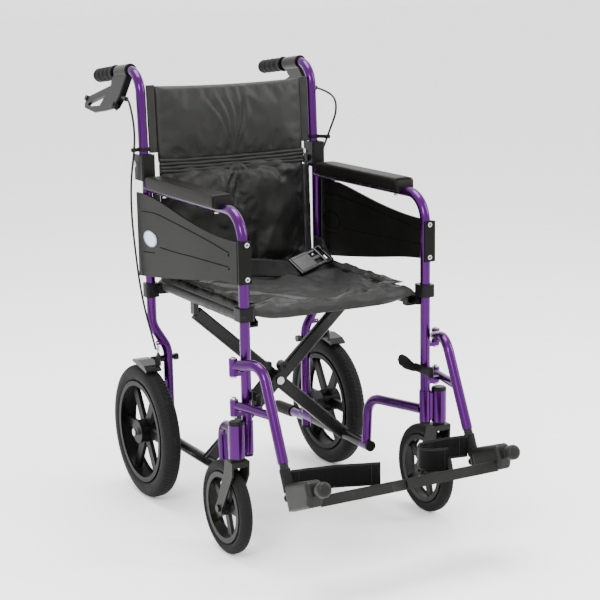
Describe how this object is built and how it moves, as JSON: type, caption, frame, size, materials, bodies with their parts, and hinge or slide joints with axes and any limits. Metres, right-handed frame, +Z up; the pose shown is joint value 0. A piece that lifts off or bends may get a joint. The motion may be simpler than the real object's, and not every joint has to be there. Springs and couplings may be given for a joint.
{
  "type": "transport wheelchair",
  "caption": "Folding attendant-propelled transport wheelchair with small rear wheels, front castors, swing-away footrests, hand brakes, arm pads and a sling seat.",
  "frame": {"origin": "on the floor, below the centre of the bounding box", "axes": "+Z up, the occupant faces -Y, +X is the occupant's left"},
  "size_m": [0.5508, 1.0647, 0.9943],
  "materials": {
    "frame_paint": "gloss metallic",
    "steel": "satin",
    "black_plastic": "satin",
    "black_metal": "satin",
    "panel_plastic": "satin",
    "pad_foam": "matte",
    "grip_rubber": "matte",
    "cable_sheath": "satin",
    "wheel_plastic": "satin",
    "tyre_rubber": "matte",
    "footplate_plastic": "satin",
    "webbing": "satin",
    "nylon": "satin sheen",
    "buckle_plastic": "satin"
  },
  "bodies": {
    "right_frame": {"side_frame_right": "frame_paint", "frame_fittings_right": "black_plastic", "frame_screws_right": "steel", "side_panel_right": "panel_plastic", "arm_pad_right": "pad_foam", "back_hinge_right": "black_plastic", "brake_cable_right": "cable_sheath", "brake_spring_right": "steel", "back_lower": "nylon", "lap_belt": "webbing", "belt_buckle": "buckle_plastic"},
    "left_frame": {"side_frame_left": "frame_paint", "frame_fittings_left": "black_plastic", "frame_screws_left": "steel", "side_panel_left": "panel_plastic", "arm_pad_left": "pad_foam", "back_hinge_left": "black_plastic", "brake_cable_left": "cable_sheath", "brake_spring_left": "steel"},
    "arm_1": {"cross_arm_front": "black_metal", "cross_bolt": "steel", "seat_cover": "nylon"},
    "arm_2": {"cross_arm_rear": "black_metal"},
    "back_right": {"back_post_right": "frame_paint", "grip_right": "grip_rubber", "brake_mount_right": "black_plastic", "back_upper": "nylon"},
    "lever_right": {"brake_lever_right": "black_plastic"},
    "release_right": {"hinge_release_right": "black_plastic"},
    "wheel_right": {"rear_wheel_right": "wheel_plastic", "rear_tyre_right": "tyre_rubber"},
    "fork_right": {"castor_fork_right": "black_metal", "castor_axle_right": "steel"},
    "castor_right": {"castor_wheel_right": "wheel_plastic", "castor_tyre_right": "tyre_rubber"},
    "shoe_right": {"tyre_brake_right": "black_metal"},
    "pins_right": {"hanger_pins_right": "steel"},
    "hanger_right": {"footrest_hanger_right": "frame_paint"},
    "latch_right": {"footrest_latch_right": "black_plastic"},
    "tube_right": {"footplate_tube_right": "black_metal", "heel_strap_right": "webbing"},
    "plate_right": {"footplate_right": "footplate_plastic"},
    "back_left": {"back_post_left": "frame_paint", "grip_left": "grip_rubber", "brake_mount_left": "black_plastic"},
    "lever_left": {"brake_lever_left": "black_plastic"},
    "release_left": {"hinge_release_left": "black_plastic"},
    "wheel_left": {"rear_wheel_left": "wheel_plastic", "rear_tyre_left": "tyre_rubber"},
    "fork_left": {"castor_fork_left": "black_metal", "castor_axle_left": "steel"},
    "castor_left": {"castor_wheel_left": "wheel_plastic", "castor_tyre_left": "tyre_rubber"},
    "shoe_left": {"tyre_brake_left": "black_metal"},
    "pins_left": {"hanger_pins_left": "steel"},
    "hanger_left": {"footrest_hanger_left": "frame_paint"},
    "latch_left": {"footrest_latch_left": "black_plastic"},
    "tube_left": {"footplate_tube_left": "black_metal", "heel_strap_left": "webbing"},
    "plate_left": {"footplate_left": "footplate_plastic"}
  },
  "joints": [
    {"name": "fold", "type": "hinge", "parent": "right_frame", "child": "arm_1", "pos_m": [-0.182, 0.08, 0.126], "axis": [0, -1, 0], "range_deg": [0, 36], "deforming": ["seat_cover", "back_lower", "back_upper", "lap_belt", "belt_buckle"]},
    {"name": "cross_pivot", "type": "hinge", "parent": "arm_1", "child": "arm_2", "pos_m": [0, 0.08, 0.287], "axis": [0, -1, 0], "range_deg": [-72, 0]},
    {"name": "left_frame_pivot", "type": "hinge", "parent": "arm_2", "child": "left_frame", "pos_m": [0.182, 0.08, 0.126], "axis": [0, -1, 0], "range_deg": [0, 36]},
    {"name": "back_fold_right", "type": "hinge", "parent": "right_frame", "child": "back_right", "pos_m": [-0.219, 0.29, 0.772], "axis": [-1, 0, 0], "range_deg": [0, 100], "deforming": ["brake_cable_right"]},
    {"name": "brake_lever_right", "type": "hinge", "parent": "back_right", "child": "lever_right", "pos_m": [-0.25113, 0.353, 0.90183], "axis": [0.9135, 0, -0.4067], "range_deg": [0, 12], "stiffness_Nm_per_rad": 1.5},
    {"name": "tyre_brake_right", "type": "hinge", "parent": "right_frame", "child": "shoe_right", "pos_m": [-0.2, 0.268, 0.321], "axis": [1, 0, 0], "range_deg": [0, 3], "deforming": ["brake_spring_right"]},
    {"name": "hinge_release_right", "type": "hinge", "parent": "right_frame", "child": "release_right", "pos_m": [-0.2, 0.277, 0.757], "axis": [-1, 0, 0], "range_deg": [0, 20], "stiffness_Nm_per_rad": 0.3},
    {"name": "rear_wheel_right", "type": "hinge", "parent": "right_frame", "child": "wheel_right", "pos_m": [-0.242, 0.268, 0.155], "axis": [1, 0, 0], "continuous": true},
    {"name": "castor_swivel_right", "type": "hinge", "parent": "right_frame", "child": "fork_right", "pos_m": [-0.2485, -0.211, 0.25], "axis": [0, 0, 1], "continuous": true},
    {"name": "castor_wheel_right", "type": "hinge", "parent": "fork_right", "child": "castor_right", "pos_m": [-0.2485, -0.1595, 0.1], "axis": [1, 0, 0], "continuous": true},
    {"name": "footrest_carry_right", "type": "hinge", "parent": "right_frame", "child": "pins_right", "pos_m": [-0.247, -0.2, 0.4], "axis": [0, 0, -1], "range_deg": [0, 36]},
    {"name": "footrest_swing_right", "type": "hinge", "parent": "pins_right", "child": "hanger_right", "pos_m": [-0.247, -0.2, 0.33], "axis": [0, 0, -1], "range_deg": [0, 90]},
    {"name": "footrest_latch_right", "type": "hinge", "parent": "hanger_right", "child": "latch_right", "pos_m": [-0.209, -0.238, 0.344], "axis": [0, 0, -1], "range_deg": [0, 18], "stiffness_Nm_per_rad": 0.3},
    {"name": "footrest_height_right", "type": "slide", "parent": "hanger_right", "child": "tube_right", "axis": [0, -0.4147, -0.91], "range_m": [0, 0.05]},
    {"name": "footplate_flip_right", "type": "hinge", "parent": "tube_right", "child": "plate_right", "pos_m": [-0.221, -0.38919, 0.18322], "axis": [0, -0.9239, 0.3827], "range_deg": [0, 90], "deforming": ["heel_strap_right"]},
    {"name": "back_fold_left", "type": "hinge", "parent": "left_frame", "child": "back_left", "pos_m": [0.219, 0.29, 0.772], "axis": [-1, 0, 0], "range_deg": [0, 100], "deforming": ["brake_cable_left"]},
    {"name": "brake_lever_left", "type": "hinge", "parent": "back_left", "child": "lever_left", "pos_m": [0.25113, 0.353, 0.90183], "axis": [0.9135, 0, 0.4067], "range_deg": [0, 12], "stiffness_Nm_per_rad": 1.5},
    {"name": "tyre_brake_left", "type": "hinge", "parent": "left_frame", "child": "shoe_left", "pos_m": [0.2, 0.268, 0.321], "axis": [1, 0, 0], "range_deg": [0, 3], "deforming": ["brake_spring_left"]},
    {"name": "hinge_release_left", "type": "hinge", "parent": "left_frame", "child": "release_left", "pos_m": [0.2, 0.277, 0.757], "axis": [-1, 0, 0], "range_deg": [0, 20], "stiffness_Nm_per_rad": 0.3},
    {"name": "rear_wheel_left", "type": "hinge", "parent": "left_frame", "child": "wheel_left", "pos_m": [0.242, 0.268, 0.155], "axis": [1, 0, 0], "continuous": true},
    {"name": "castor_swivel_left", "type": "hinge", "parent": "left_frame", "child": "fork_left", "pos_m": [0.2485, -0.211, 0.25], "axis": [0, 0, 1], "continuous": true},
    {"name": "castor_wheel_left", "type": "hinge", "parent": "fork_left", "child": "castor_left", "pos_m": [0.2485, -0.1595, 0.1], "axis": [1, 0, 0], "continuous": true},
    {"name": "footrest_carry_left", "type": "hinge", "parent": "left_frame", "child": "pins_left", "pos_m": [0.247, -0.2, 0.4], "axis": [0, 0, 1], "range_deg": [0, 36]},
    {"name": "footrest_swing_left", "type": "hinge", "parent": "pins_left", "child": "hanger_left", "pos_m": [0.247, -0.2, 0.33], "axis": [0, 0, 1], "range_deg": [0, 90]},
    {"name": "footrest_latch_left", "type": "hinge", "parent": "hanger_left", "child": "latch_left", "pos_m": [0.209, -0.238, 0.344], "axis": [0, 0, 1], "range_deg": [0, 18], "stiffness_Nm_per_rad": 0.3},
    {"name": "footrest_height_left", "type": "slide", "parent": "hanger_left", "child": "tube_left", "axis": [0, -0.4147, -0.91], "range_m": [0, 0.05]},
    {"name": "footplate_flip_left", "type": "hinge", "parent": "tube_left", "child": "plate_left", "pos_m": [0.221, -0.38919, 0.18322], "axis": [0, 0.9239, -0.3827], "range_deg": [0, 90], "deforming": ["heel_strap_left"]}
  ],
  "couplings": [
    {"joint": "cross_pivot", "follows": "fold", "ratio": -2},
    {"joint": "left_frame_pivot", "follows": "fold", "ratio": 1},
    {"joint": "tyre_brake_right", "follows": "brake_lever_right", "ratio": 0.25},
    {"joint": "footrest_carry_right", "follows": "fold", "ratio": 1},
    {"joint": "back_fold_left", "follows": "back_fold_right", "ratio": 1},
    {"joint": "tyre_brake_left", "follows": "brake_lever_left", "ratio": 0.25},
    {"joint": "footrest_carry_left", "follows": "fold", "ratio": 1}
  ]
}
